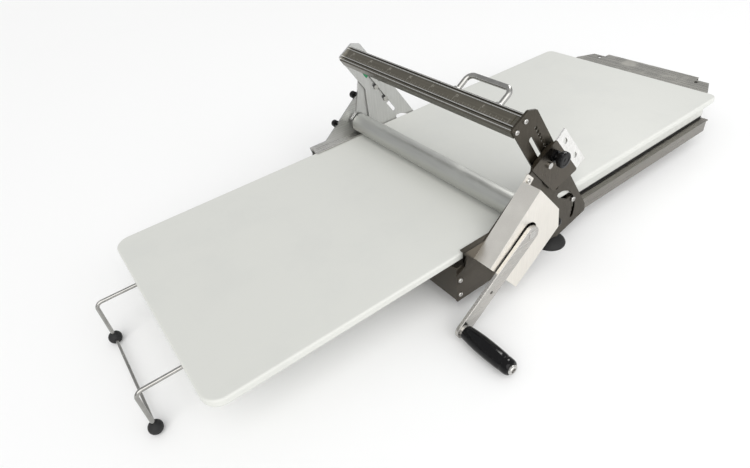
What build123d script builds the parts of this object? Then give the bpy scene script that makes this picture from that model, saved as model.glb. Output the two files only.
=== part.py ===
# Hand-cranked table-top dough sheeter.
# A sliding dough board runs between a lower drive roller and an upper press roller.
# The upper roller hangs in a carriage that climbs a slanted mast in indexed steps.
#
# Machine axes while modelling: X along the board from its left end, Y across it from its
# crank-side edge, Z up from the table. Every part is moved to the row frame on export:
# origin on the table, under the middle of the whole machine, X along the board, +Y away
# from the crank.
from build123d import *
from math import atan2, cos, degrees, pi, radians, sin, sqrt, tan
import os

# ---------------------------------------------------------------- driving dimensions (mm)
# board
board_length = 1005.0
board_width = 380.0
board_thickness = 12.0
board_left_corner = 24.0
board_right_corner = 14.0
board_edge_round = 3.0
board_top = 100.0              # height of the working surface above the table
board_centre = board_width / 2  # Y of the machine's middle plane
board_middle_x = 502.5         # X of the board's middle at rest

# rollers
nip_x = 469.0                  # X of both rollers
upper_radius = 17.0
lower_radius = 12.0
roller_wall = 3.0
axle_radius = 6.0
dough_gap = 5.0                # upper roller to board, carriage at its lowest
rolling_gap = 0.3              # lower roller to board

# sheet metal and plates
sheet = 2.0
plate = 2.5
mast_thickness = 3.0
edge_gap = 1.0                 # board edge to mast plate
layer_gap = 1.0                # mast plate to carriage plate
side_gap = 0.5                 # carriage plate to side plate

# base
base_left = 348.0
base_right = 600.0
base_bottom = 28.0
wall_inset = 20.0              # tray wall from the board edge
wall_top_gap = 2.0             # tray wall below the board

# gears
gear_module = 1.5
crank_teeth = 36
roller_teeth = 20
gear_width = 9.0
gear_line_angle = 120.0        # direction from the drive roller to the crank axis
gear_backlash = 0.35

# crank
arm_radius = 156.0
arm_angle = 218.0              # direction of the arm at rest
arm_width = 25.0
arm_thickness = 5.0
grip_radius = 12.5
grip_length = 80.0
grip_bore_clearance = 0.1
crank_shaft_radius = 6.0

# gear cover
cover_depth = 29.5
cover_sheet = 1.5
cover_slot_width = 31.0
cover_arm_gap = 2.0

# mast
pivot_x = 552.0
pivot_z = 57.0
pivot_radius = 4.0
pivot_cap_radius = 8.0
mast_angle = 57.5              # slope of the mast, above horizontal
mast_near_across = 13.6        # left edge of the mast strip, measured square to its slope
mast_width = 44.7
mast_length = 221.0            # pivot level to the top of the strip
mast_foot_radius = 38.0
arc_slot_radius = 45.0
arc_slot_width = 7.0
arc_wide_width = 13.0
arc_slot_from = -16.0
arc_slot_to = 84.0
arc_pin_angle = 27.0

# index row and carriage
index_pitch = 7.5
index_steps = 6
index_holes = 9
index_hole_radius = 2.6
index_across = 44.8
plunger_up = 125.0
guide_across = 31.3
guide_up = (121.0, 87.0)
guide_slot_top = 178.0
guide_slot_low = 53.0
guide_bush_radius = 3.4
guide_clearance = 0.15
plunger_pin_radius = 2.5
knob_radius = 11.5
plunger_throw = 3.0            # from drawn, as modelled, to seated in the mast
bracket_stand_off = 3.5       # bracket face to carriage plate

# beam
beam_width = 29.7
beam_depth = 14.0
beam_across = 12.3
beam_top_up = 218.4
handle_rod = 8.0
handle_from = 44.0
handle_to = 122.0
handle_reach = 28.0
handle_bend = 10.0

# guide strips along the board edges
strip_from = 366.0
strip_to = 480.0
near_strip_lap = 4.0
far_strip_lap = 8.0
strip_gap = 1.0

# right-hand rails and pull-out end tray
rail_from = 582.0
rail_to = 996.0
rail_top = 55.0
rail_height = 21.0
rail_inset = 1.0
rail_flange = 39.0
pad_height = 5.0
slide_bar_inset = 14.0
slide_bar_width = 16.0
end_tray_from = 800.0
end_tray_to = 1094.0
end_tray_top = 78.0
end_tray_travel = 185.0
end_lip = 14.0

# left-hand wire stand
wire_radius = 2.75
wire_y = (95.0, 285.0)
wire_z = 78.0
wire_corner_x = -58.0
wire_bend = 9.0
wire_end_x = 452.0
ball_radius = 9.5
cross_wire_radius = 2.0
socket_wall = 2.0
socket_clearance = 0.1
socket_length = 90.0

# feet
foot_x = 566.0
foot_inset = 9.0
foot_radius = 25.0
foot_height = 13.0
stud_radius = 4.0

# fasteners
screw_radius = 2.0
head_radius = 3.6
head_height = 2.4
shaft_clearance = 0.05         # radial, shaft in bush
hole_clearance = 0.2           # radial, screw in hole

# ---------------------------------------------------------------- derived places
board_bottom = board_top - board_thickness
board_far = board_width
upper_z = board_top + dough_gap + upper_radius
lower_z = board_bottom - rolling_gap - lower_radius
centre_distance = gear_module * (crank_teeth + roller_teeth) / 2
crank_x = nip_x + centre_distance * cos(radians(gear_line_angle))
crank_z = lower_z + centre_distance * sin(radians(gear_line_angle))
arm_end_x = crank_x + arm_radius * cos(radians(arm_angle))
arm_end_z = crank_z + arm_radius * sin(radians(arm_angle))

# layers of the crank side, counted outwards from the board edge; the far side mirrors them
mast_in = -edge_gap
mast_out = mast_in - mast_thickness
carriage_in = mast_out - layer_gap
carriage_out = carriage_in - plate
side_in = carriage_out - side_gap
side_out = side_in - plate
cover_out = side_out - cover_depth
arm_in = cover_out - cover_arm_gap
arm_out = arm_in - arm_thickness
grip_start = arm_out - 3.0
grip_end = grip_start - grip_length
bracket_in = carriage_out - bracket_stand_off
bracket_out = bracket_in - sheet
wall_in = wall_inset + sheet
wall_top = board_bottom - wall_top_gap
rail_bottom = rail_top - rail_height

# slanted mast axes: "across" is square to the mast, "up" runs along it
up_x = -cos(radians(mast_angle))
up_z = sin(radians(mast_angle))
across_x = sin(radians(mast_angle))
across_z = cos(radians(mast_angle))
carriage_travel = index_pitch * index_steps

# row origin
cap_height = 9.0
knob_cap_out = board_far - side_out + cap_height
stand_left = wire_corner_x - ball_radius
row_x = (stand_left + end_tray_to + end_lip) / 2
row_y = (grip_end - 4.0 + knob_cap_out) / 2


# ---------------------------------------------------------------- helpers
def mast_point(across, up):
    """XZ place of a point given in mast axes."""
    return (pivot_x + across * across_x + up * up_x, pivot_z + across * across_z + up * up_z)


def block(x0, x1, y0, y1, z0, z1):
    return Pos((x0 + x1) / 2, (y0 + y1) / 2, (z0 + z1) / 2) * Box(x1 - x0, y1 - y0, z1 - z0)


def xz_plane(y):
    """Sketch plane with X to the right and Z up, at a given Y, facing -Y."""
    return Plane(origin=(0, y, 0), x_dir=(1, 0, 0), z_dir=(0, -1, 0))


def slab(outline, y0, y1):
    """A flat plate: an XZ sketch filled from y0 to y1."""
    return extrude(xz_plane(y1) * outline, amount=y1 - y0, dir=(0, -1, 0))


def outline(points, radius=0.0):
    face = Polygon(*points, align=None)
    if radius > 0:
        face = fillet(face.vertices(), radius)
    return face


def rod_y(x, z, radius, y0, y1):
    return slab(Pos(x, z) * Circle(radius), y0, y1)


def rod_x(y, z, radius, x0, x1):
    return Pos((x0 + x1) / 2, y, z) * Rot(0, 90, 0) * Cylinder(radius, x1 - x0)


def rod_z(x, y, radius, z0, z1):
    return Pos(x, y, (z0 + z1) / 2) * Cylinder(radius, z1 - z0)


def ring_y(x, z, outer, inner, y0, y1):
    return rod_y(x, z, outer, y0, y1) - rod_y(x, z, inner, y0 - 1, y1 + 1)


def long_hole(start, end, width):
    """Straight slot between two XZ centres."""
    length = sqrt((end[0] - start[0]) ** 2 + (end[1] - start[1]) ** 2)
    turn = degrees(atan2(end[1] - start[1], end[0] - start[0]))
    middle = ((start[0] + end[0]) / 2, (start[1] + end[1]) / 2)
    return Pos(*middle) * Rot(0, 0, turn) * SlotOverall(length + width, width)


def arc_hole(centre, radius, width, from_angle, to_angle):
    """Curved slot about a centre, as a ring sector with round ends."""
    ring = Circle(radius + width / 2) - Circle(radius - width / 2)
    reach = 3 * radius
    step = (to_angle - from_angle) / 4
    rays = [from_angle + i * step for i in range(5)]
    fan = [(0, 0)] + [(reach * cos(radians(a)), reach * sin(radians(a))) for a in rays]
    sector = ring & Polygon(*fan, align=None)
    for angle in (from_angle, to_angle):
        sector += Pos(radius * cos(radians(angle)), radius * sin(radians(angle))) * Circle(width / 2)
    return Pos(*centre) * sector


def far(shape):
    """The same piece on the far side of the board."""
    return mirror(shape, about=Plane(origin=(0, board_centre, 0), z_dir=(0, 1, 0)))


def both(shape):
    """A near piece and its mirrored partner, as separate solids."""
    return [shape, far(shape)]


def pan_head(x, z, y_face, length, radius=screw_radius, head=head_radius, height=head_height):
    """Screw along +Y with a domed head standing on a face at y_face, on its -Y side."""
    shank = rod_y(x, z, radius, y_face, y_face + length)
    dome = rod_y(x, z, head, y_face - height, y_face)
    dome = fillet(dome.edges().filter_by(GeomType.CIRCLE).sort_by(Axis.Y)[0], height * 0.6)
    recess = rod_y(x, z, head * 0.35, y_face - height - 1, y_face - height * 0.4)
    return shank + dome - recess


def save(name, shape):
    """Write one node: a single solid, or a group of separate solids."""
    solids = shape if isinstance(shape, list) else [shape]
    loose = [one for piece in solids for one in piece.solids()]
    moved = [Pos(-row_x, -row_y, 0) * one for one in loose]
    node = moved[0] if len(moved) == 1 else Compound(children=moved)
    export_step(node, f"parts/{name}.step")


# ---------------------------------------------------------------- board
def make_board():
    start = board_middle_x - board_length / 2
    body = block(start, start + board_length, 0, board_width, board_bottom, board_top)
    corners = body.edges().filter_by(Axis.Z).sort_by(Axis.X)
    body = fillet(corners[:2], board_left_corner)
    corners = body.edges().filter_by(Axis.Z).sort_by(Axis.X)
    body = fillet(corners[-2:], board_right_corner)
    rims = body.faces().filter_by(Axis.Z).edges()
    save("dough_board", fillet(rims, board_edge_round))


# ---------------------------------------------------------------- base
def near_side_outline():
    slope_from = (396.0, board_top + 9)
    slope_to = (484.0, board_top + 81)
    right = 505.0
    corner = [(base_left - 2, base_bottom), (base_left - 2, 77), (361, 84), (364, 97), (361, 109)]
    return outline(corner + [slope_from, slope_to, (right, slope_to[1] - 24), (right, base_bottom)], 1.8)


def side_screw_places():
    return [(base_left + 4, 66), (base_left + 4, 40)]


def guide_strip(lap):
    """Angle over the board's edge, reaching in by lap, with a leg down beside the edge."""
    under = board_top + strip_gap
    strip = block(strip_from, strip_to, side_in, lap, under, under + sheet)
    return strip + block(strip_from, strip_to, -edge_gap - sheet, -edge_gap, board_bottom - 4, under)


def make_base():
    near_y = side_in
    far_y = board_width - side_in
    floor = block(base_left, base_right, 0, board_width, base_bottom, base_bottom + sheet)
    tray = floor + block(base_left, base_left + sheet, near_y, far_y, base_bottom, wall_top)
    tray += block(base_right - sheet, base_right, wall_inset, board_width - wall_inset, base_bottom, wall_top)
    ear = block(base_left, base_left + 12, near_y, near_y + sheet, base_bottom, wall_top)
    wall = block(base_left, base_right, wall_inset, wall_in, base_bottom, wall_top)
    wall -= rod_y(nip_x, lower_z, axle_radius + 2 + hole_clearance, wall_inset - 1, wall_in + 1)
    wall -= rod_y(pivot_x, pivot_z, pivot_radius, wall_inset - 1, wall_in + 1)
    for x, z in side_screw_places():
        ear -= rod_y(x, z, screw_radius, near_y - 1, near_y + sheet + 1)
    tray += ear + far(ear) + wall + far(wall)
    for y in wire_y:
        tray -= rod_x(y, wire_z, wire_radius + socket_clearance + socket_wall, base_left - 1, base_left + sheet + 1)
    for y in (foot_inset, board_width - foot_inset):
        tray -= rod_z(foot_x, y, stud_radius, base_bottom - 1, base_bottom + sheet + 1)
    save("base_tray", tray)

    side = slab(near_side_outline(), side_out, side_in)
    side -= rod_y(nip_x, lower_z, axle_radius + 2 + hole_clearance, side_out - 1, side_in + 1)
    side -= rod_y(crank_x, crank_z, crank_shaft_radius + 2 + hole_clearance, side_out - 1, side_in + 1)
    far_side = slab(near_side_outline(), side_out, side_in)
    for x, z in side_screw_places():
        side -= rod_y(x, z, screw_radius, side_out - 1, side_in + 1)
        far_side -= rod_y(x, z, screw_radius, side_out - 1, side_in + 1)
    for x, z in cover_screw_places():
        side -= rod_y(x, z, screw_radius, side_out - 1, side_in + 1)
    for x, z in cap_places():
        far_side -= rod_y(x, z, screw_radius, side_out - 1, side_in + 1)
    save("near_side_plate", side)
    save("far_side_plate", far(far_side))
    screws = [pan_head(x, z, side_out, plate + sheet) for x, z in side_screw_places()]
    save("side_plate_screws", screws + [far(screw) for screw in screws])

    save("near_guide_strip", guide_strip(near_strip_lap))
    save("far_guide_strip", far(guide_strip(far_strip_lap)))


def make_feet():
    cup = Polygon((0, 0), (foot_radius, 0), (foot_radius, 2.5), (foot_radius - 4, 7), (13, foot_height - 1.5),
                  (10, foot_height), (0, foot_height), align=None)
    hollow = Polygon((0, -1), (foot_radius - 5, -1), (foot_radius - 7, 2), (0, 4), align=None)
    cup = revolve(Plane.XZ * cup, axis=Axis.Z) - revolve(Plane.XZ * hollow, axis=Axis.Z)
    cup -= rod_z(0, 0, stud_radius, foot_height - 5, foot_height + 1)
    places = [(foot_x, foot_inset), (foot_x, board_width - foot_inset)]
    save("suction_feet", [Pos(x, y, 0) * cup for x, y in places])
    studs = []
    nuts = []
    for x, y in places:
        studs.append(rod_z(x, y, stud_radius, foot_height - 5, base_bottom + sheet + 7))
        hexagon = extrude(RegularPolygon(7.5, 6), amount=1)
        lower = scale(hexagon, (1, 1, base_bottom - foot_height))
        upper = scale(hexagon, (1, 1, 5))
        hole = rod_z(0, 0, stud_radius, -1, 40)
        nuts.append(Pos(x, y, foot_height) * (lower - hole))
        nuts.append(Pos(x, y, base_bottom + sheet) * (upper - hole))
    save("foot_studs", studs)
    save("foot_nuts", nuts)


# ---------------------------------------------------------------- gears
def gear_profile(teeth, turn):
    """Involute gear outline about the origin; one tooth points along the angle turn."""
    pitch = gear_module * teeth / 2
    base = pitch * cos(radians(20))
    tip = pitch + 0.92 * gear_module
    root = pitch - 1.2 * gear_module

    def roll(radius):
        return sqrt(max((radius / base) ** 2 - 1, 0))

    def spread(radius):
        return roll(radius) - atan2(roll(radius), 1)

    half_tooth = pi / (2 * teeth) - gear_backlash / (2 * pitch) + spread(pitch)
    start = max(base, root)
    radii = [start + (tip - start) * i / 4 for i in range(5)]
    points = []
    for tooth in range(teeth):
        middle = radians(turn) + 2 * pi * tooth / teeth
        rising = [(r, middle - half_tooth + spread(r)) for r in radii]
        falling = [(r, 2 * middle - a) for r, a in reversed(rising)]
        foot = [(root, middle - half_tooth + spread(start))] if root < base else []
        back = [(root, middle + half_tooth - spread(start))] if root < base else []
        points += [(r * cos(a), r * sin(a)) for r, a in foot + rising + falling + back]
    return Polygon(*points, align=None)


gear_front = side_out - 4 - gear_width
gear_back = side_out - 4


def make_gears():
    wheel = Pos(crank_x, crank_z) * (gear_profile(crank_teeth, gear_line_angle + 180) - Circle(crank_shaft_radius))
    for i in range(5):
        spoke = radians(36 + 72 * i)
        wheel -= Pos(crank_x + 16 * cos(spoke), crank_z + 16 * sin(spoke)) * Circle(4.5)
    save("crank_gear", slab(wheel, gear_front, gear_back))
    gap_turn = gear_line_angle + 180 / roller_teeth
    pinion = Pos(nip_x, lower_z) * (gear_profile(roller_teeth, gap_turn) - Circle(axle_radius))
    save("roller_gear", slab(pinion, gear_front, gear_back))


# ---------------------------------------------------------------- lower roller
def make_lower_roller():
    start = wall_in + 3
    end = board_width - start
    tube = ring_y(nip_x, lower_z, lower_radius, lower_radius - roller_wall, start + 8, end - 8)
    for y0, y1 in ((start, start + 8), (end - 8, end)):
        tube += ring_y(nip_x, lower_z, lower_radius, axle_radius, y0, y1)
    save("lower_roller", tube)
    axle = rod_y(nip_x, lower_z, axle_radius, gear_front - 1, board_width - wall_inset + 2)
    save("lower_axle", axle)
    bush = ring_y(nip_x, lower_z, axle_radius + 2 + hole_clearance, axle_radius + shaft_clearance,
                  wall_inset - 0.5, wall_in)
    outer = ring_y(nip_x, lower_z, axle_radius + 2 + hole_clearance, axle_radius + shaft_clearance,
                   side_out - 1, side_in)
    save("drive_bushes", both(bush) + [outer])


# ---------------------------------------------------------------- crank
def make_crank():
    bush = ring_y(crank_x, crank_z, crank_shaft_radius + 2 + hole_clearance,
                  crank_shaft_radius + shaft_clearance, side_out - 3, side_in)
    save("crank_bush", bush)
    shaft = rod_y(crank_x, crank_z, crank_shaft_radius, arm_out - 0.4, side_in - 0.2)
    shaft += rod_y(crank_x, crank_z, crank_shaft_radius + 3, arm_in, gear_front)
    save("crank_shaft", shaft)
    hub = (crank_x, crank_z)
    end = (arm_end_x, arm_end_z)
    arm = long_hole(hub, end, arm_width) - Pos(*hub) * Circle(crank_shaft_radius)
    arm -= Pos(*end) * Circle(4)
    spare = 0.6
    arm -= Pos(hub[0] + (end[0] - hub[0]) * spare, hub[1] + (end[1] - hub[1]) * spare) * Circle(2.5)
    arm = slab(arm, arm_out, arm_in)
    save("crank_arm", fillet(arm.faces().sort_by(Axis.Y)[0].outer_wire().edges(), 0.8))
    spindle = rod_y(arm_end_x, arm_end_z, 4, grip_end + 5, arm_in)
    spindle += rod_y(arm_end_x, arm_end_z, 8, grip_start + 0.2, arm_out)
    save("grip_spindle", spindle)
    bulge = [(4 + grip_bore_clearance, grip_start), (10, grip_start), (11.2, grip_start - 8),
             (grip_radius, grip_start - 30), (grip_radius, grip_start - 50), (11.4, grip_start - 70),
             (10.4, grip_end), (4 + grip_bore_clearance, grip_end)]
    section = Polyline(bulge[6], bulge[7], bulge[0], bulge[1]) + Spline(*bulge[1:7])
    grip = revolve(Plane.XY * make_face(section), axis=Axis.Y)
    cup = rod_y(0, 0, 8.2, grip_end - 1, grip_end + 5)
    save("crank_grip", Pos(arm_end_x, 0, arm_end_z) * (grip - cup))
    cap = rod_y(arm_end_x, arm_end_z, 7.2, grip_end - 4, grip_end + 5)
    cap = fillet(cap.edges().filter_by(GeomType.CIRCLE).sort_by(Axis.Y)[0], 2)
    save("grip_end_cap", cap)


# ---------------------------------------------------------------- gear cover
def cover_corners():
    return [(377.5, board_top - 10), (465, board_top + 72), (509, board_top + 20),
            (513, board_top - 13), (432, board_top - 78)]


def cover_screw_places():
    return [(474, board_top + 69), (499, 34)]


def make_cover():
    outer = Polygon(*cover_corners(), align=None)
    inner = offset(outer, -cover_sheet, kind=Kind.INTERSECTION)
    shell = slab(outer, cover_out, side_out) - slab(inner, cover_out + cover_sheet, side_out + 1)
    slope = radians(44)
    away = 130.0
    mouth = (crank_x - away * cos(slope), crank_z - away * sin(slope))
    shell -= slab(long_hole((crank_x, crank_z), mouth, cover_slot_width), cover_out - 1, side_out - 6)
    shell = shell.solids().sort_by(SortBy.VOLUME)[-1]
    top, low = cover_screw_places()
    upper_tab = slab(outline([(458, board_top + 64), (472, board_top + 81), (485, board_top + 68),
                              (470, board_top + 50)], 2), side_out - cover_sheet, side_out)
    lower_tab = slab(outline([(440, 30), (505, 30), (505, 42), (470, 52)], 2), side_out - cover_sheet, side_out)
    for x, z in (top, low):
        upper_tab -= rod_y(x, z, screw_radius, side_out - 9, side_out + 1)
        lower_tab -= rod_y(x, z, screw_radius, side_out - 9, side_out + 1)
    save("gear_cover", shell + upper_tab + lower_tab)
    save("cover_screws", [pan_head(x, z, side_out - cover_sheet, plate + cover_sheet) for x, z in (top, low)])


# ---------------------------------------------------------------- mast
def mast_outline():
    left = mast_near_across
    right = left + mast_width
    strip = [mast_point(left, 136), mast_point(left, mast_length), mast_point(right - 12, mast_length - 1),
             mast_point(right, mast_length - 14), (627, 52), (630, 37), (612, 32),
             (pivot_x + 14, pivot_z - mast_foot_radius), (pivot_x - 20, pivot_z - mast_foot_radius + 8),
             (500, 66), (491, 128)]
    return outline(strip, 4)


def make_mast():
    holes = Pos(pivot_x, pivot_z) * Circle(pivot_radius + hole_clearance)
    for step in range(index_holes):
        holes += Pos(*mast_point(index_across, plunger_up + step * index_pitch)) * Circle(index_hole_radius)
    slot_width = 2 * (guide_bush_radius + guide_clearance)
    slot_top = mast_point(guide_across, guide_slot_top)
    slot_low = mast_point(guide_across, guide_slot_low)
    holes += long_hole(slot_low, slot_top, slot_width)
    for across, up in beam_screw_places():
        holes += Pos(*mast_point(across, up)) * Circle(screw_radius)
    arc = arc_hole((pivot_x, pivot_z), arc_slot_radius, arc_slot_width, arc_slot_from, arc_slot_to)
    arc += arc_hole((pivot_x, pivot_z), arc_slot_radius - 2, arc_wide_width, arc_slot_to - 32, arc_slot_to - 8)
    mast = slab(mast_outline() - holes - arc, mast_out, mast_in)
    save("near_mast_plate", mast)
    save("far_mast_plate", far(mast))

    bolt = rod_y(pivot_x, pivot_z, pivot_radius, mast_out - 2, wall_in + 2)
    bolt += ring_y(pivot_x, pivot_z, 8, pivot_radius - 0.1, mast_in + 0.1, wall_inset)
    save("pivot_bolts", both(bolt))
    knob = rod_y(pivot_x, pivot_z, pivot_cap_radius, mast_out - 12, mast_out - 0.1)
    knob = fillet(knob.edges().filter_by(GeomType.CIRCLE).sort_by(Axis.Y)[0], 3)
    knob -= rod_y(pivot_x, pivot_z, pivot_radius, mast_out - 2, mast_out + 1)
    save("pivot_caps", both(knob))
    pin_x = pivot_x + arc_slot_radius * cos(radians(arc_pin_angle))
    pin_z = pivot_z + arc_slot_radius * sin(radians(arc_pin_angle))
    screw = pan_head(pin_x, pin_z, mast_out - 0.3, 6, radius=2.6, head=4.4)
    post = block(pin_x - 5, pin_x + 5, mast_in + 0.5, wall_inset, pin_z - 6, pin_z + 4)
    post -= rod_y(pin_x, pin_z, 2.6, mast_in - 1, mast_in + 2.7)
    save("arc_guide_screws", both(screw))
    save("arc_guide_posts", both(post))


def beam_screw_places():
    return [(beam_across + 6, beam_top_up - 7), (beam_across + beam_width - 6, beam_top_up - 7)]


def make_beam():
    """Extruded beam across the machine, with ribs each side of its ruler band."""
    start = mast_in
    end = board_width - mast_in
    low = beam_top_up - beam_depth
    right = beam_across + beam_width
    profile = [(beam_across, low), (beam_across, beam_top_up - 1), (beam_across + 2, beam_top_up),
               (beam_across + 4, beam_top_up), (beam_across + 4.6, beam_top_up - 1.6),
               (beam_across + 7, beam_top_up - 1.6), (beam_across + 7.6, beam_top_up),
               (beam_across + 9.6, beam_top_up), (beam_across + 9.6, beam_top_up - 1),
               (right - 6, beam_top_up - 1), (right - 6, beam_top_up), (right - 4.4, beam_top_up),
               (right - 3.8, beam_top_up - 1.6), (right - 2.6, beam_top_up - 1.6),
               (right - 2, beam_top_up), (right, beam_top_up), (right, low)]
    body = Polygon(*[mast_point(*point) for point in profile], align=None)
    beam = slab(body, start, end)
    for across, up in beam_screw_places():
        x, z = mast_point(across, up)
        beam -= rod_y(x, z, screw_radius, start - 1, start + 14)
        beam -= rod_y(x, z, screw_radius, end - 14, end + 1)
    save("cross_beam", beam)
    band = [(beam_across + 9.8, beam_top_up - 1), (beam_across + 9.8, beam_top_up - 0.3),
            (right - 6.2, beam_top_up - 0.3), (right - 6.2, beam_top_up - 1)]
    ruler = slab(Polygon(*[mast_point(*point) for point in band], align=None), start + 8, end - 8)
    save("ruler_strip", ruler)
    screws = []
    for across, up in beam_screw_places():
        x, z = mast_point(across, up)
        screws += both(pan_head(x, z, mast_out, 14))
    save("beam_screws", screws)

    root_across = right
    tip_across = right + handle_reach
    mid_up = beam_top_up - beam_depth / 2
    corners = [(root_across, handle_from), (tip_across, handle_from), (tip_across, handle_to), (root_across, handle_to)]
    points = []
    for across, y in corners:
        x, z = mast_point(across, mid_up)
        points.append((x, y, z))
    path = FilletPolyline(*points, radius=handle_bend)
    rod = sweep(Plane(origin=path @ 0, z_dir=path % 0) * Circle(handle_rod / 2), path=path)
    flange = []
    for y in (handle_from, handle_to):
        x, z = mast_point(root_across, mid_up)
        base = Plane(origin=(x, y, z), z_dir=(across_x, 0, across_z))
        flange.append(extrude(base * (Circle(6.5) - Circle(handle_rod / 2 + 0.05)), amount=2))
    save("lift_handle", rod)
    save("handle_washers", flange)


# ---------------------------------------------------------------- carriage
def carriage_outline(head_up):
    """Arm that carries the press roller, running back to the two guide bushes."""
    top = mast_point(guide_across + 19, head_up)
    top_left = mast_point(guide_across - 13, head_up)
    low = mast_point(guide_across + 19, guide_up[1] - 13)
    low_left = mast_point(guide_across - 13, guide_up[1] - 13)
    arm = Polygon(top, low, low_left, (nip_x + 10, upper_z - 14), (nip_x - 10, upper_z - 13),
                  (nip_x - 14, upper_z + 9), (nip_x - 2, upper_z + 18), top_left, align=None)
    return fillet(arm.vertices(), 4)


def bracket_corners():
    return [(523.5, board_top + 110), (579, board_top + 40.5), (529, board_top + 26), (479, board_top + 83)]


def make_carriage():
    holes = Pos(nip_x, upper_z) * Circle(axle_radius + 3)
    for up in guide_up:
        holes += Pos(*mast_point(guide_across, up)) * Circle(screw_radius + 0.5)
    pin_hole = Pos(*mast_point(index_across, plunger_up)) * Circle(plunger_pin_radius + 0.4)
    near_body = slab(carriage_outline(plunger_up + 18) - holes - pin_hole, carriage_out, carriage_in)
    far_body = slab(carriage_outline(plunger_up + 37) - holes, carriage_out, carriage_in)
    save("near_carriage_plate", near_body)
    save("far_carriage_plate", far(far_body))

    reach = 3 + axle_radius
    bush = ring_y(nip_x, upper_z, reach, axle_radius + shaft_clearance, carriage_out - 0.2, carriage_in)
    bush += ring_y(nip_x, upper_z, reach + 2, axle_radius + shaft_clearance, carriage_in, carriage_in + 2)
    save("press_roller_bushes", both(bush))

    bushes = []
    screws = []
    for up in guide_up:
        x, z = mast_point(guide_across, up)
        sleeve = ring_y(x, z, guide_bush_radius, screw_radius + 0.5, carriage_in, mast_in + 0.5)
        bushes += both(sleeve)
        short = rod_y(x, z, screw_radius + 0.5, carriage_out, mast_in + 0.5)
        short += rod_y(x, z, 4.6, mast_in + 0.5, mast_in + 1.8)
        screws.append(far(short + rod_y(x, z, 4.4, carriage_out - 0.4, carriage_out)))
        if up == guide_up[0]:
            short += rod_y(x, z, screw_radius + 0.5, bracket_out, carriage_out)
            short += rod_y(x, z, 4.4, bracket_out - 3, bracket_out)
        else:
            short += rod_y(x, z, 4.4, carriage_out - 0.4, carriage_out)
        screws.append(short)
    save("guide_sleeves", bushes)
    save("guide_screws", screws)

    corners = bracket_corners()
    face = slab(outline(corners, 3), bracket_out, bracket_in)
    top, right, low, left = corners
    edge_angle = atan2(top[1] - right[1], top[0] - right[0])
    out_x = sin(edge_angle)
    out_z = -cos(edge_angle)
    tilt = radians(10)
    lip_width = 21.0
    lip_slide = -6.0
    lip_run = lip_width * cos(tilt)
    lip_rise = lip_width * sin(tilt)

    def lip_point(corner, slide, run, rise):
        x = corner[0] + slide * cos(edge_angle) + run * out_x
        z = corner[1] + slide * sin(edge_angle) + run * out_z
        return (x, bracket_out + rise, z)

    root_top = lip_point(top, -1, -0.5, 0)
    root_right = lip_point(right, 4, -0.5, 0)
    tip_top = lip_point(top, lip_slide, lip_run, lip_rise)
    tip_right = lip_point(right, lip_slide, lip_run, lip_rise)
    lip_face = make_face(Polyline(root_top, root_right, tip_right, tip_top, close=True)).face()
    lip_normal = lip_face.normal_at()
    inwards = lip_normal if lip_normal.Y > 0 else -lip_normal
    lip = extrude(lip_face, amount=sheet, dir=inwards)
    for share in (0.22, 0.72):
        mid = Vector(*root_top) * (1 - share) + Vector(*root_right) * share
        mid = mid + (Vector(*tip_top) - Vector(*root_top)) * 0.5
        hole = Plane(origin=mid - inwards * 2, z_dir=inwards, x_dir=Vector(cos(edge_angle), 0, sin(edge_angle)))
        lip -= extrude(hole * SlotOverall(10.5, 7.5), amount=8)
    flange_foot = [(left[0] + 3, left[1] + 2.2), (top[0] - 3, top[1] - 2.2)]
    flange_tip = [(x + 1.1, z - 1.7) for x, z in reversed(flange_foot)]
    back = slab(Polygon(*flange_foot, *flange_tip, align=None), bracket_out, carriage_out - 0.5)
    bracket = face + back
    save("bracket_lip", lip - face)
    top_guide = mast_point(guide_across, guide_up[0])
    bracket -= rod_y(*top_guide, screw_radius + 0.5, bracket_out - 1, bracket_in + 1)
    bracket -= rod_y(*mast_point(index_across, plunger_up), 5, bracket_out - 1, bracket_in + 1)
    save("index_bracket", bracket)
    spacers = [ring_y(*top_guide, 5.5, screw_radius + 0.5, bracket_in, carriage_out)]
    spacers.append(rod_y(*mast_point(guide_across + 12, guide_up[1] - 4), 4, bracket_in, carriage_out))
    save("bracket_spacers", spacers)

    x, z = mast_point(index_across, plunger_up)
    barrel = ring_y(x, z, 5, plunger_pin_radius + shaft_clearance, bracket_out - 1, carriage_out)
    barrel += ring_y(x, z, 8.5, plunger_pin_radius + shaft_clearance, bracket_out - 4, bracket_out)
    save("plunger_barrel", barrel)
    knob_back = bracket_out - 4 - plunger_throw - 0.2
    save("plunger_pin", rod_y(x, z, plunger_pin_radius, knob_back - 6, mast_out - 0.4))
    knob = rod_y(x, z, 8.0, knob_back - 4, knob_back) + rod_y(x, z, knob_radius, knob_back - 11, knob_back - 2)
    rims = knob.edges().filter_by(GeomType.CIRCLE).filter_by(lambda e: abs(e.radius - knob_radius) < 0.01)
    knob = fillet(rims, 2.0)
    knob -= rod_y(x, z, plunger_pin_radius, knob_back - 6, knob_back + 1)
    save("plunger_knob", knob)

    marker = mast_point(guide_across, plunger_up + 29)
    flag = Pos(*marker) * Rot(0, 0, -mast_angle) * Rectangle(12, 7)
    save("height_marker", far(slab(flag, carriage_in, carriage_in + layer_gap * 0.7)))


def make_upper_roller():
    start = carriage_in + 4
    end = board_width - start
    tube = ring_y(nip_x, upper_z, upper_radius, upper_radius - roller_wall, start + 10, end - 10)
    for y0, y1 in ((start, start + 10), (end - 10, end)):
        tube += ring_y(nip_x, upper_z, upper_radius, axle_radius, y0, y1)
    rims = tube.edges().filter_by(GeomType.CIRCLE).filter_by(lambda e: abs(e.radius - upper_radius) < 0.01)
    outer = rims.sort_by(Axis.Y)
    save("press_roller", fillet([outer[0], outer[-1]], 1))
    save("press_axle", rod_y(nip_x, upper_z, axle_radius, carriage_out, board_width - carriage_out))


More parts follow.
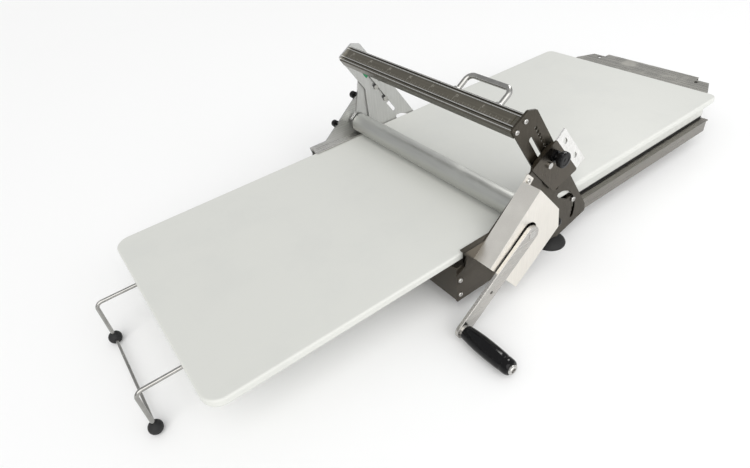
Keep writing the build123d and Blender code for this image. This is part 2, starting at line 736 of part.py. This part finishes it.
# ---------------------------------------------------------------- far caps
def cap_places():
    return [(471.0, board_top + 72), (424.0, board_top + 32)]


def make_far_caps():
    caps = []
    for x, z in cap_places():
        cap = rod_y(x, z, 6.5, side_out - cap_height, side_out)
        cap = fillet(cap.edges().filter_by(GeomType.CIRCLE).sort_by(Axis.Y)[0], 3)
        caps.append(far(cap + rod_y(x, z, screw_radius, side_out, side_in)))
    save("far_side_caps", caps)


# ---------------------------------------------------------------- rails and end tray
def make_rails():
    clear = base_right + 2
    web = block(rail_from, rail_to - 6, rail_inset, rail_inset + sheet, rail_bottom, rail_top)
    lip = block(rail_from, clear, rail_inset, wall_inset, rail_top - sheet, rail_top)
    shelf = block(clear, rail_to, rail_inset, rail_inset + rail_flange, rail_top - sheet, rail_top)
    foot = block(rail_from, rail_to - 6, rail_inset, rail_inset + 14, rail_bottom, rail_bottom + sheet)
    rail = web + lip + shelf + foot
    save("near_rail", rail)
    save("far_rail", far(rail))
    start = clear + 4
    end = rail_to - 1
    bar_out = slide_bar_inset + slide_bar_width
    pad = block(start, end, slide_bar_inset + 0.5, bar_out - 0.5, rail_top, rail_top + pad_height)
    bar = block(start, end, slide_bar_inset, bar_out, rail_top + pad_height, board_bottom - 0.5)
    save("bar_pads", both(pad))
    save("slide_bars", both(bar))


def make_end_tray():
    side = rail_inset + rail_flange
    far_y = board_width - side
    corner = end_tray_to - 38
    plan = Polygon((end_tray_from, side), (corner, side), (end_tray_to, side + 18), (end_tray_to, far_y - 18),
                   (corner, far_y), (end_tray_from, far_y), align=None)
    top = extrude(Pos(0, 0, end_tray_top - sheet) * plan, amount=sheet, dir=(0, 0, 1))
    lip_inset = 46.0
    top += block(end_tray_to, end_tray_to + end_lip, side + lip_inset, far_y - lip_inset,
                 end_tray_top - sheet, end_tray_top)
    drop = 18.0
    top += block(end_tray_to + end_lip - sheet, end_tray_to + end_lip, side + lip_inset, far_y - lip_inset,
                 end_tray_top - drop, end_tray_top)
    runner = rail_top + 0.3
    inner = end_tray_to - 110
    wall = block(end_tray_from, inner, side, side + sheet, runner, end_tray_top)
    wall += block(inner, corner, side, side + sheet, end_tray_top - drop, end_tray_top)
    wall += block(end_tray_from, inner, side - 8, side, runner, runner + sheet)
    tray = top + wall + far(wall)
    for y in (side + lip_inset - 7, far_y - lip_inset + 7):
        tray -= block(end_tray_to - 14, end_tray_to - 6, y - 4, y + 4, end_tray_top - 5, end_tray_top + 1)
    save("end_tray", tray)


# ---------------------------------------------------------------- wire stand
def make_wire_stand():
    wires = []
    balls = []
    for y in wire_y:
        path = FilletPolyline((wire_end_x, y, wire_z), (wire_corner_x, y, wire_z),
                              (wire_corner_x, y, ball_radius), radius=wire_bend)
        wires.append(sweep(Plane(origin=path @ 0, z_dir=path % 0) * Circle(wire_radius), path=path))
        ball = Pos(wire_corner_x, y, ball_radius) * Sphere(ball_radius)
        ball -= rod_z(wire_corner_x, y, wire_radius, ball_radius, 3 * ball_radius)
        ball -= rod_y(wire_corner_x, ball_radius, cross_wire_radius, wire_y[0] + wire_radius, wire_y[1] - wire_radius)
        balls.append(ball)
    save("stand_wires", wires)
    save("stand_ball_feet", balls)
    bar = rod_y(wire_corner_x, ball_radius, cross_wire_radius, wire_y[0] + wire_radius, wire_y[1] - wire_radius)
    save("stand_cross_wire", bar)
    sockets = []
    for y in wire_y:
        outer = wire_radius + socket_clearance + socket_wall
        tube = rod_x(y, wire_z, outer, base_left, base_left + socket_length)
        collar = rod_x(y, wire_z, outer + 2.5, base_left - 3, base_left)
        bore = rod_x(y, wire_z, wire_radius + socket_clearance, base_left - 5, base_left + socket_length + 1)
        sockets.append(tube + collar - bore)
    save("stand_sockets", sockets)


def main():
    os.makedirs("parts", exist_ok=True)
    make_board()
    make_base()
    make_feet()
    make_gears()
    make_lower_roller()
    make_crank()
    make_cover()
    make_mast()
    make_beam()
    make_carriage()
    make_upper_roller()
    make_far_caps()
    make_rails()
    make_end_tray()
    make_wire_stand()


main()
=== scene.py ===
# Looks for the hand-cranked dough sheeter: finishes, small details, light and camera.
import bpy
import math
from mathutils import Matrix, Vector


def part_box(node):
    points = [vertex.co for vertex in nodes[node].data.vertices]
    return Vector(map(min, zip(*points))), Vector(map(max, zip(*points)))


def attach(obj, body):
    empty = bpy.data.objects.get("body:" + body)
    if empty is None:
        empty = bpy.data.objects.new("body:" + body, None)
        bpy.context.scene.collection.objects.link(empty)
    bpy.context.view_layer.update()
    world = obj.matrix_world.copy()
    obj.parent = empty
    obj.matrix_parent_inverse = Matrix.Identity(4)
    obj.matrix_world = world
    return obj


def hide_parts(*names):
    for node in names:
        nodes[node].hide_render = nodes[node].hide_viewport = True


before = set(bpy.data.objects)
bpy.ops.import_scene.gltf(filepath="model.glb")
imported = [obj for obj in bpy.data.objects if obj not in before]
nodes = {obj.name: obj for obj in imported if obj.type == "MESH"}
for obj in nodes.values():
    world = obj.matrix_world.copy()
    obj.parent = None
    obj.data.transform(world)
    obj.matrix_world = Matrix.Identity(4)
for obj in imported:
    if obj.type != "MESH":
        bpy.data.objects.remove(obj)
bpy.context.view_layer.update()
print("frame loaded:", len(nodes), "nodes")


class Value:  # one output socket, so that shader maths reads as plain sums
    def __init__(self, finish, socket):
        self.finish = finish
        self.socket = socket

    def maths(self, operation, left, right):
        return self.finish.node("ShaderNodeMath", {"operation": operation}, {0: left, 1: right})

    def __add__(self, other):
        return self.maths("ADD", self, other)

    def __radd__(self, other):
        return self.maths("ADD", other, self)

    def __sub__(self, other):
        return self.maths("SUBTRACT", self, other)

    def __rsub__(self, other):
        return self.maths("SUBTRACT", other, self)

    def __mul__(self, other):
        return self.maths("MULTIPLY", self, other)

    def __rmul__(self, other):
        return self.maths("MULTIPLY", other, self)


class Finish:  # one material and the nodes in it
    def __init__(self, name, **fixed):
        self.material = bpy.data.materials.new(name)
        self.material.use_nodes = True
        self.tree = self.material.node_tree
        self.shader = self.tree.nodes["Principled BSDF"]
        self.set(**fixed)

    def node(self, kind, settings=None, sockets=None, output=0):
        made = self.tree.nodes.new(kind)
        for name, value in (settings or {}).items():
            setattr(made, name, value)
        for key, value in (sockets or {}).items():
            self.feed(made.inputs[key], value)
        return Value(self, made.outputs[output])

    def feed(self, socket, value):
        if isinstance(value, Value):
            self.tree.links.new(value.socket, socket)
        else:
            socket.default_value = value

    def set(self, **sockets):  # baseColor=..., roughness=... on the shader itself
        for name, value in sockets.items():
            label = "".join(" " + c if c.isupper() else c for c in name).strip()
            self.feed(self.shader.inputs[label[0].upper() + label[1:]], value)

    def place(self, stretch=(1, 1, 1), turn=(0, 0, 0)):
        where = self.node("ShaderNodeTexCoord", output=3)
        angles = tuple(math.radians(a) for a in turn)
        return self.node("ShaderNodeMapping", {"vector_type": "POINT"},
                         {"Vector": where, "Rotation": angles, "Scale": stretch})

    def noise(self, stretch, scale=1.0, detail=2.0, roughness=0.5, turn=(0, 0, 0)):
        spot = self.place(stretch, turn)
        return self.node("ShaderNodeTexNoise", sockets={
            "Vector": spot, "Scale": scale, "Detail": detail, "Roughness": roughness})

    def ramp(self, value, low, high):  # 0 below low, 1 above high, smooth between
        return self.node("ShaderNodeMapRange", {"interpolation_type": "SMOOTHSTEP"},
                         {"Value": value, "From Min": low, "From Max": high})

    def blendColour(self, factor, first, second):
        return self.node("ShaderNodeMix", {"data_type": "RGBA"}, {0: factor, 6: first, 7: second}, 2)

    def bump(self, height, strength, distance):
        return self.node("ShaderNodeBump", sockets={
            "Height": height, "Strength": strength, "Distance": distance})


def shade(colour, amount):
    return tuple(min(1.0, c * amount) for c in colour[:3]) + (1.0,)


steelLooks = {
    # painted shade: plate is a dark copy of the pale farPlate steel, for the near plates and near guide strip
    # that sit in shade
    "plate": {"colour": (0.085, 0.076, 0.063), "grain": (12, 900, 900), "turn": (0, 0, 0), "rough": 0.30},
    "farPlate": {"colour": (0.56, 0.56, 0.55), "grain": (12, 900, 900), "turn": (0, 0, 0), "rough": 0.34},
    "rail": {"colour": (0.25, 0.237, 0.215), "grain": (10, 900, 900), "turn": (0, 0, 0), "rough": 0.26},
    "strip": {"colour": (0.60, 0.59, 0.57), "grain": (14, 900, 900), "turn": (0, 0, 0), "rough": 0.24},
    # painted shade: mastPlate is a dark copy of the pale farMast steel, for the near mast and carriage plates
    # in shade
    "mastPlate": {"colour": (0.075, 0.066, 0.052), "grain": (900, 900, 14), "turn": (0, 32.5, 0),
                  "rough": 0.27},
    "farMast": {"colour": (0.64, 0.64, 0.63), "grain": (900, 900, 14), "turn": (0, 32.5, 0), "rough": 0.36,
                "contrast": 0.5},
    # painted shade on the bracket and painted light on its lip: one steel as a dark copy for the upright
    # bracket and a pale copy for the upturned lip
    "bracket": {"colour": (0.088, 0.077, 0.062), "grain": (900, 900, 14), "turn": (0, 32.5, 0),
                "rough": 0.25},
    "lip": {"colour": (0.86, 0.85, 0.83), "grain": (900, 900, 14), "turn": (0, 32.5, 0), "rough": 0.25},
    "cover": {"colour": (0.83, 0.80, 0.745), "grain": (1700, 1700, 30), "turn": (0, 42, 0), "rough": 0.36,
              "contrast": 0.35},
    "tray": {"colour": (0.36, 0.35, 0.32), "grain": (700, 10, 700), "turn": (0, 0, 0), "rough": 0.24},
    "roller": {"colour": (0.50, 0.505, 0.48), "grain": (260, 20, 260), "turn": (0, 0, 0), "rough": 0.38,
               "contrast": 0.3},
    "gear": {"colour": (0.30, 0.30, 0.30), "grain": (300, 900, 300), "turn": (0, 0, 0), "rough": 0.34},
    "turned": {"colour": (0.55, 0.54, 0.52), "grain": (500, 500, 500), "turn": (0, 0, 0), "rough": 0.20},
    "polished": {"colour": (0.36, 0.355, 0.34), "grain": (60, 60, 60), "turn": (0, 0, 0), "rough": 0.14},
    "arm": {"colour": (0.50, 0.485, 0.46), "grain": (8, 900, 900), "turn": (0, 38, 0), "rough": 0.22},
    "beam": {"colour": (0.15, 0.14, 0.115), "grain": (900, 10, 900), "turn": (0, 0, 0), "rough": 0.26},
    "rulerPlate": {"colour": (0.17, 0.157, 0.128), "grain": (900, 10, 900), "turn": (0, 0, 0), "rough": 0.34},
}


steelWear = {  # what all the steel has in common
    "smudgeScale": 22, "fineScale": 1500, "streaks": (0.3, 0.72), "smudges": (0.5, 0.75),
    "darker": 0.14, "paler": 0.12, "smudged": 0.4, "smudgeTone": 1.30,
    "streakRough": 0.10, "smudgeRough": 0.12, "fineRough": 0.03, "bump": 0.10, "depth": 0.0002,
}


def steel(name, look):
    wear = steelWear
    made = Finish(name, metallic=1.0)
    streak = made.noise(look["grain"], 1.0, 4.0, 0.6, look["turn"])
    smudge = made.noise((wear["smudgeScale"],) * 3, 1.0, 3.0, 0.55)
    fine = made.noise((wear["fineScale"],) * 3, 1.0, 1.0)
    tone = made.ramp(streak, *wear["streaks"])
    contrast = look.get("contrast", 1.0)
    dark = shade(look["colour"], 1 - wear["darker"] * contrast)
    pale = shade(look["colour"], 1 + wear["paler"] * contrast)
    colour = made.blendColour(tone, dark, pale)
    handled = made.ramp(smudge, *wear["smudges"])
    touched = shade(look["colour"], wear["smudgeTone"])
    colour = made.blendColour(handled * (wear["smudged"] * contrast), colour, touched)
    made.set(baseColor=colour)
    rough = look["rough"] + tone * wear["streakRough"] + handled * wear["smudgeRough"]
    made.set(roughness=rough + fine * wear["fineRough"] - wear["fineRough"])
    made.set(normal=made.bump(streak, wear["bump"] * contrast, wear["depth"]))
    return made.material


boardLook = {
    "colour": (0.645, 0.65, 0.615), "worn": (0.615, 0.622, 0.592), "rough": 0.42,
    "mottleScale": 9, "peelScale": 420, "cuts": (35, 900, 35), "crossCuts": (900, 30, 60),
    "cutTurn": 7, "crossTurn": -11, "wornShare": 0.6, "scratchShare": 0.25, "scratchTone": 0.88,
    "patchRough": 0.08, "peelRough": 0.06, "bump": 0.12, "depth": 0.0002,
}


def polyethylene(name, look):
    made = Finish(name)
    mottle = made.noise((look["mottleScale"],) * 3, 1.0, 4.0, 0.6)
    orangePeel = made.noise((look["peelScale"],) * 3, 1.0, 2.0)
    cuts = made.noise(look["cuts"], 1.0, 3.0, 0.65, (0, 0, look["cutTurn"]))
    crossCuts = made.noise(look["crossCuts"], 1.0, 3.0, 0.65, (0, 0, look["crossTurn"]))
    scratch = made.ramp(cuts, 0.66, 0.74) + made.ramp(crossCuts, 0.69, 0.76)
    patch = made.ramp(mottle, 0.45, 0.7)
    colour = made.blendColour(patch * look["wornShare"], shade(look["colour"], 1.0), shade(look["worn"], 1.0))
    scratched = shade(look["worn"], look["scratchTone"])
    colour = made.blendColour(scratch * look["scratchShare"], colour, scratched)
    made.set(baseColor=colour)
    made.set(roughness=look["rough"] + patch * look["patchRough"] + orangePeel * look["peelRough"])
    made.set(normal=made.bump(orangePeel * 0.5 + scratch * 0.4, look["bump"], look["depth"]))
    return made.material


plasticLooks = {
    "glossBlack": {"colour": (0.004, 0.004, 0.0045), "rough": 0.10, "grain": 260, "depth": 0.05,
                   "shine": 0.22},
    "acetal": {"colour": (0.035, 0.035, 0.036), "rough": 0.42, "grain": 700, "depth": 0.10,
               "shine": 0.3},
    "rubber": {"colour": (0.022, 0.022, 0.022), "rough": 0.62, "grain": 500, "depth": 0.20,
               "shine": 0.25},
    "green": {"colour": (0.02, 0.27, 0.11), "rough": 0.38, "grain": 600, "depth": 0.08,
              "shine": 0.5},
    "markPaint": {"colour": (0.30, 0.285, 0.25), "rough": 0.5, "grain": 900, "depth": 0.05,
                  "shine": 0.5},
}


plasticDust = {"scale": 60, "patches": (0.52, 0.8), "share": 0.5, "tone": 2.2, "rough": 0.12,
               "grainRough": 0.04, "bumpDepth": 0.0003}


def plastic(name, look):
    made = Finish(name)
    made.feed(made.shader.inputs["Specular IOR Level"], look["shine"])
    grain = made.noise((look["grain"],) * 3, 1.0, 3.0)
    dust = made.noise((plasticDust["scale"],) * 3, 1.0, 5.0, 0.7)
    dusty = made.ramp(dust, *plasticDust["patches"])
    clean, dull = shade(look["colour"], 1.0), shade(look["colour"], plasticDust["tone"])
    colour = made.blendColour(dusty * plasticDust["share"], clean, dull)
    made.set(baseColor=colour)
    made.set(roughness=look["rough"] + dusty * plasticDust["rough"] + grain * plasticDust["grainRough"])
    made.set(normal=made.bump(grain, look["depth"], plasticDust["bumpDepth"]))
    return made.material


finishes = {key: steel(key + "Steel", look) for key, look in steelLooks.items()}
finishes["board"] = polyethylene("boardPolyethylene", boardLook)
finishes.update({key: plastic(key + "Plastic", look) for key, look in plasticLooks.items()})
print("finishes made:", len(finishes))

nodeFinish = {
    # painted shade: the near plates, near guide strip and near mast take the dark copies, the far ones take
    # the pale steel
    "plate": ["base_tray", "near_side_plate", "near_guide_strip", "arc_guide_posts"],
    "farPlate": ["far_side_plate"],
    "strip": ["far_guide_strip"],
    "rail": ["near_rail", "far_rail"],
    "mastPlate": ["near_mast_plate", "near_carriage_plate"],
    "farMast": ["far_mast_plate", "far_carriage_plate"],
    # painted shade on the bracket, painted light on its upturned lip
    "bracket": ["index_bracket"],
    "lip": ["bracket_lip"],
    "cover": ["gear_cover"],
    "tray": ["end_tray"],
    "roller": ["press_roller", "lower_roller"],
    "gear": ["crank_gear", "roller_gear"],
    "turned": ["side_plate_screws", "cover_screws", "beam_screws", "arc_guide_screws", "guide_screws",
               "bracket_spacers", "handle_washers", "foot_nuts", "foot_studs", "crank_shaft",
               "grip_spindle", "grip_end_cap", "pivot_bolts", "press_axle", "lower_axle",
               "plunger_pin"],
    "polished": ["stand_wires", "stand_cross_wire", "lift_handle"],
    "arm": ["crank_arm"],
    "beam": ["cross_beam"],
    "rulerPlate": ["ruler_strip"],
    "board": ["dough_board", "slide_bars"],
    "glossBlack": ["pivot_caps", "far_side_caps", "plunger_knob", "crank_grip", "plunger_barrel"],
    "rubber": ["suction_feet", "stand_ball_feet", "bar_pads"],
    "acetal": ["drive_bushes", "crank_bush", "press_roller_bushes", "stand_sockets", "guide_sleeves"],
    "green": ["height_marker"],
}

for key, names in nodeFinish.items():
    for name in names:
        mesh = nodes[name].data
        mesh.materials.clear()
        mesh.materials.append(finishes[key])
left = set(nodes) - {name for names in nodeFinish.values() for name in names}
print("CAD nodes finished, left over:", sorted(left))


def piece(name, points, faces, finish, body, smooth=None):
    mesh = bpy.data.meshes.new(name)
    mesh.from_pydata([tuple(p) for p in points], [], faces)
    mesh.materials.append(finishes[finish])
    if smooth is not None:
        mesh.shade_smooth()
        mesh.set_sharp_from_angle(angle=math.radians(smooth))
    made = bpy.data.objects.new(name, mesh)
    bpy.context.scene.collection.objects.link(made)
    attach(made, body)
    return made


def turning(centre, axis, profile, steps=64, flutes=None):
    # rings of points about an axis; profile is (distance along, radius) in millimetres
    axis = Vector(axis).normalized()
    side = axis.orthogonal().normalized()
    other = axis.cross(side)
    points = []
    for along, radius in profile:
        for k in range(steps):
            angle = 2 * math.pi * k / steps
            r = radius
            if flutes and flutes["from"] <= along <= flutes["to"]:
                r -= flutes["depth"] * max(0.0, math.cos(flutes["count"] * angle)) ** 2
            spoke = side * math.cos(angle) + other * math.sin(angle)
            points.append(Vector(centre) + axis * (along / 1000) + spoke * (r / 1000))
    rings = len(profile)
    faces = []
    for i in range(rings - 1):
        for k in range(steps):
            n = (k + 1) % steps
            faces.append((i * steps + k, i * steps + n, (i + 1) * steps + n, (i + 1) * steps + k))
    faces.append(tuple(range(steps - 1, -1, -1)))
    faces.append(tuple((rings - 1) * steps + k for k in range(steps)))
    return points, faces


def middle(node):
    low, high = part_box(node)
    return (Vector(low) + Vector(high)) / 2


def joined(parts):  # several (points, faces) lists as one
    points, faces = [], []
    for some, theirs in parts:
        base = len(points)
        points += some
        faces += [tuple(base + i for i in face) for face in theirs]
    return points, faces


towardsUser = (0, -1, 0)  # the crank's side of the machine

gripShape = {
    "profile": [(0, 7.0), (0, 9.4), (0.8, 10.2), (3, 10.5), (8, 11.0), (16, 11.7), (26, 12.3), (38, 12.5),
                (50, 12.3), (60, 11.9), (66, 11.5), (67, 11.1), (68, 11.1), (69, 11.5), (74, 11.3),
                (77.5, 10.8), (79.3, 9.9), (80, 8.9), (80, 8.0), (78.5, 7.7), (76.5, 7.6)],
    "capProfile": [(0, 7.2), (0.0, 7.2), (6.2, 7.2), (7.4, 6.9), (8.2, 6.2), (8.2, 3.6), (5.4, 3.3),
                   (5.0, 0.3)],
}


def makeGrip():
    centre = middle("crank_grip")
    start = Vector((centre.x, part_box("crank_grip")[1][1], centre.z))
    shape = turning(start, towardsUser, gripShape["profile"], 96)
    grip = piece("gripHandle", *shape, "glossBlack", "grip", 28)
    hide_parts("crank_grip")
    capAt = Vector((centre.x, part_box("grip_end_cap")[1][1], centre.z))
    shape = turning(capAt, towardsUser, gripShape["capProfile"], 48)
    cap = piece("gripEndScrew", *shape, "turned", "crank", 25)
    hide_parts("grip_end_cap")


knobShape = {
    "profile": [(0, 3.0), (0, 7.4), (1.2, 8.0), (2.6, 8.0), (3.0, 9.5), (3.8, 11.0), (4.8, 11.5), (9.2, 11.5),
                (10.4, 10.9), (11, 9.6), (11, 7.4), (10.3, 6.8), (10.3, 3.0), (10.7, 2.4), (10.9, 0.6)],
    "flutes": {"from": 4.2, "to": 9.6, "count": 16, "depth": 0.45},
}


def makeKnob():
    centre = middle("plunger_knob")
    start = Vector((centre.x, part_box("plunger_knob")[1][1], centre.z))
    shape = turning(start, towardsUser, knobShape["profile"], 128, knobShape["flutes"])
    knob = piece("plungerKnob", *shape, "glossBlack", "plunger", 30)
    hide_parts("plunger_knob")


footShape = {
    "reach": 0.025,  # from the pair's outer side to each cup's middle, metres
    "profile": [(13, 4.2), (13, 9.6), (12.2, 10.6), (11.6, 12.6), (10.4, 15.4), (8.6, 18.4), (7.6, 20.0),
                (7.2, 20.4), (6.9, 20.4), (5.6, 22.0), (3.6, 23.8), (2.2, 24.6), (1.0, 25.0), (0, 24.8),
                (0, 20.0), (2.0, 18.0), (4.0, 1.0)],
}


def makeFeet():
    low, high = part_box("suction_feet")
    x = (low[0] + high[0]) / 2
    reach = footShape["reach"]
    profile = [(-along, radius) for along, radius in footShape["profile"]]
    shapes = []
    for y in (low[1] + reach, high[1] - reach):
        shapes.append(turning((x, y, 0), (0, 0, -1), profile, 96))
    feet = piece("suctionCups", *joined(shapes), "rubber", "machine_frame", 32)
    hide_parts("suction_feet")


capShape = {"height": 0.0119,  # metres
            "profile": [(0, 4.2), (0, 7.6), (0.8, 8.0), (5.5, 8.0), (7.6, 7.5), (9.6, 6.2), (11.1, 4.0),
                        (11.75, 2.0), (11.9, 0.4)]}


def makePivotCaps():
    low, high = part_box("pivot_caps")
    x = (low[0] + high[0]) / 2
    z = (low[2] + high[2]) / 2
    shapes = [turning((x, low[1] + capShape["height"], z), towardsUser, capShape["profile"], 64)]
    shapes.append(turning((x, high[1] - capShape["height"], z), (0, 1, 0), capShape["profile"], 64))
    caps = piece("pivotDomeCaps", *joined(shapes), "glossBlack", "machine_frame", 35)
    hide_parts("pivot_caps")


beamSlope = 57.5  # degrees, how far the mast leans


def beamAxes():
    slope = math.radians(beamSlope)
    across = Vector((math.sin(slope), 0, math.cos(slope)))
    outward = Vector((-math.cos(slope), 0, math.sin(slope)))
    return across, outward


rulerMarks = {  # millimetres
    "step": 5.0, "short": 2.6, "middle": 4.4, "long": 7.2, "width": 0.34, "raised": 0.05,
    "halfBand": 6.85, "above": 0.35, "margin": 5.0,
    "numberEvery": 50.0, "numberSize": 4.2 * 1.35, "numberFrom": 6.2, "numberGap": 0.8, "numberLift": 0.03,
}


def makeRuler():
    # engraved ticks and plain centimetre numbers on the band along the beam
    low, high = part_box("ruler_strip")
    across, outward = beamAxes()
    surface = middle("ruler_strip") + outward * (rulerMarks["above"] / 1000)
    edge = surface - across * (rulerMarks["halfBand"] / 1000)
    start, end = low[1] * 1000 + rulerMarks["margin"], high[1] * 1000 - rulerMarks["margin"]
    half = rulerMarks["width"] / 2000
    shapes = []
    count = int((end - start) / rulerMarks["step"]) + 1
    for k in range(count):
        distance = k * rulerMarks["step"]
        whole = distance % rulerMarks["numberEvery"] < 0.01
        size = rulerMarks["long"] if whole else rulerMarks["middle"] if k % 2 == 0 else rulerMarks["short"]
        y = (start + distance) / 1000
        corners = []
        for rise in (0.0, rulerMarks["raised"] / 1000):
            for a, dy in ((0, -half), (size / 1000, -half), (size / 1000, half), (0, half)):
                base = edge + across * a + outward * rise
                corners.append(Vector((base.x, y + dy, base.z)))
        sides = [(4, 5, 6, 7), (0, 1, 5, 4), (1, 2, 6, 5), (2, 3, 7, 6), (3, 0, 4, 7)]
        shapes.append((corners, sides))
    ticks = piece("rulerTicks", *joined(shapes), "markPaint", "mast")
    shapes = []
    for k in range(1, int((end - start) / rulerMarks["numberEvery"]) + 1):
        curve = bpy.data.curves.new("number", "FONT")
        curve.body = str(5 * k)
        curve.size = rulerMarks["numberSize"] / 1000
        curve.extrude = rulerMarks["raised"] / 2000
        curve.align_x = "RIGHT"
        curve.align_y = "BOTTOM"
        curve.resolution_u = 3
        writing = bpy.data.objects.new("number", curve)
        mesh = bpy.data.meshes.new_from_object(writing)
        y = (start + k * rulerMarks["numberEvery"] - rulerMarks["numberGap"]) / 1000
        base = edge + across * (rulerMarks["numberFrom"] / 1000) + outward * (rulerMarks["numberLift"] / 1000)
        points = []
        for vertex in mesh.vertices:
            spot = base + across * vertex.co.y + outward * vertex.co.z
            points.append(Vector((spot.x, y + vertex.co.x, spot.z)))
        shapes.append((points, [tuple(face.vertices) for face in mesh.polygons]))
        bpy.data.objects.remove(writing)
        bpy.data.curves.remove(curve)
    numbers = piece("rulerNumbers", *joined(shapes), "markPaint", "mast")


# painted highlight: pale strips laid on the beam's rib tops in place of the light glinting off the rib edges
paintedRibLines = {"lines": (-13.65, -8.05, 7.85, 12.05), "above": 0.65, "sunk": 0.1, "width": 1.3,
             "raised": 0.05}  # millimetres, lines measured from the middle of the ruler band


def makePaintedRibHighlights():
    # painted highlight: thin pale strips along the beam's ribs that stand in for the bright glints on the rib
    # edges
    low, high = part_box("cross_beam")
    centre = middle("ruler_strip")
    across, outward = beamAxes()
    half = paintedRibLines["width"] / 2000
    shapes = []
    for offset in paintedRibLines["lines"]:
        corners = []
        for rise in (paintedRibLines["above"] - paintedRibLines["sunk"], paintedRibLines["above"] + paintedRibLines["raised"]):
            for a, y in ((-half, low[1]), (-half, high[1]), (half, high[1]), (half, low[1])):
                spot = centre + across * (offset / 1000 + a) + outward * (rise / 1000)
                corners.append(Vector((spot.x, y, spot.z)))
        sides = [(4, 5, 6, 7), (3, 2, 1, 0), (0, 1, 5, 4), (1, 2, 6, 5), (2, 3, 7, 6), (3, 0, 4, 7)]
        shapes.append((corners, sides))
    edges = piece("beamRibPaintedHighlights", *joined(shapes), "strip", "mast")


makeGrip()
makeKnob()
makePaintedRibHighlights()
makeFeet()
makePivotCaps()
makeRuler()
print("turned pieces and ruler made")

studio = {
    "floor": (0.93, 0.93, 0.93), "floorReach": 6, "world": (0.95, 0.96, 0.97), "worldStrength": 0.60,
    "lookAt": (0.0, 0.0, 0.1),
    "sun": {"towards": (-0.40, -0.62, 0.68), "strength": 2.1, "angle": 70, "colour": (1.0, 0.99, 0.97)},
    "fill": {"at": (0.7, -1.7, 1.1), "size": (1.6, 1.6), "power": 8, "colour": (0.96, 0.98, 1.0)},
    "strip": {"at": (0.99, 0.33, 1.35), "size": (0.25, 1.0), "power": 11, "colour": (1.0, 0.99, 0.97)},
}


def makeFloor():
    made = Finish("paleFloor", roughness=0.8)
    cloud = made.noise((1.2, 1.2, 1.2), 1.0, 2.0)
    made.set(baseColor=made.blendColour(cloud, shade(studio["floor"], 0.99), shade(studio["floor"], 1.0)))
    mesh = bpy.data.meshes.new("floor")
    r = studio["floorReach"]
    mesh.from_pydata([(-r, -r, 0), (r, -r, 0), (r, r, 0), (-r, r, 0)], [], [(0, 1, 2, 3)])
    floor = bpy.data.objects.new("floor", mesh)
    bpy.context.scene.collection.objects.link(floor)
    mesh.materials.append(made.material)


def hang(lamp, away):
    # away points from the machine to the lamp
    holder = bpy.data.objects.new(lamp.name, lamp)
    holder.rotation_euler = Vector(away).to_track_quat("Z", "Y").to_euler()
    bpy.context.scene.collection.objects.link(holder)
    return holder


def makeLights():
    world = bpy.data.worlds.new("studioWorld")
    world.use_nodes = True
    background = world.node_tree.nodes["Background"]
    background.inputs["Color"].default_value = studio["world"] + (1.0,)
    background.inputs["Strength"].default_value = studio["worldStrength"]
    bpy.context.scene.world = world
    sun = bpy.data.lights.new("sun", "SUN")
    sun.energy = studio["sun"]["strength"]
    sun.angle = math.radians(studio["sun"]["angle"])
    sun.color = studio["sun"]["colour"]
    hang(sun, studio["sun"]["towards"])
    for name in ("fill", "strip"):
        lamp = bpy.data.lights.new(name, "AREA")
        lamp.shape = "RECTANGLE"
        lamp.energy = studio[name]["power"]
        lamp.size, lamp.size_y = studio[name]["size"]
        lamp.color = studio[name]["colour"]
        holder = hang(lamp, Vector(studio[name]["at"]) - Vector(studio["lookAt"]))
        holder.location = studio[name]["at"]
        holder.visible_diffuse = name == "fill"  # the strip only shows as a highlight


cameraSetup = {
    "at": (-0.52622, -0.52516, 0.5687), "lens": 25.4,
    "right": (0.80089, -0.58938, -0.10583), "up": (0.43573, 0.45236, 0.77814),
    "back": (-0.41075, -0.66932, 0.61911),
}


def makeCamera():
    lens = bpy.data.cameras.new("camera")
    lens.lens = cameraSetup["lens"]
    lens.sensor_width = 36.0
    lens.clip_start = 0.01
    camera = bpy.data.objects.new("camera", lens)
    axes = Matrix([cameraSetup["right"], cameraSetup["up"], cameraSetup["back"]]).transposed()
    camera.matrix_world = Matrix.Translation(cameraSetup["at"]) @ axes.to_4x4()
    bpy.context.scene.collection.objects.link(camera)
    bpy.context.scene.camera = camera


makeFloor()
makeLights()
makeCamera()
bpy.context.scene.view_settings.view_transform = "Standard"
print("floor, lights and camera placed")
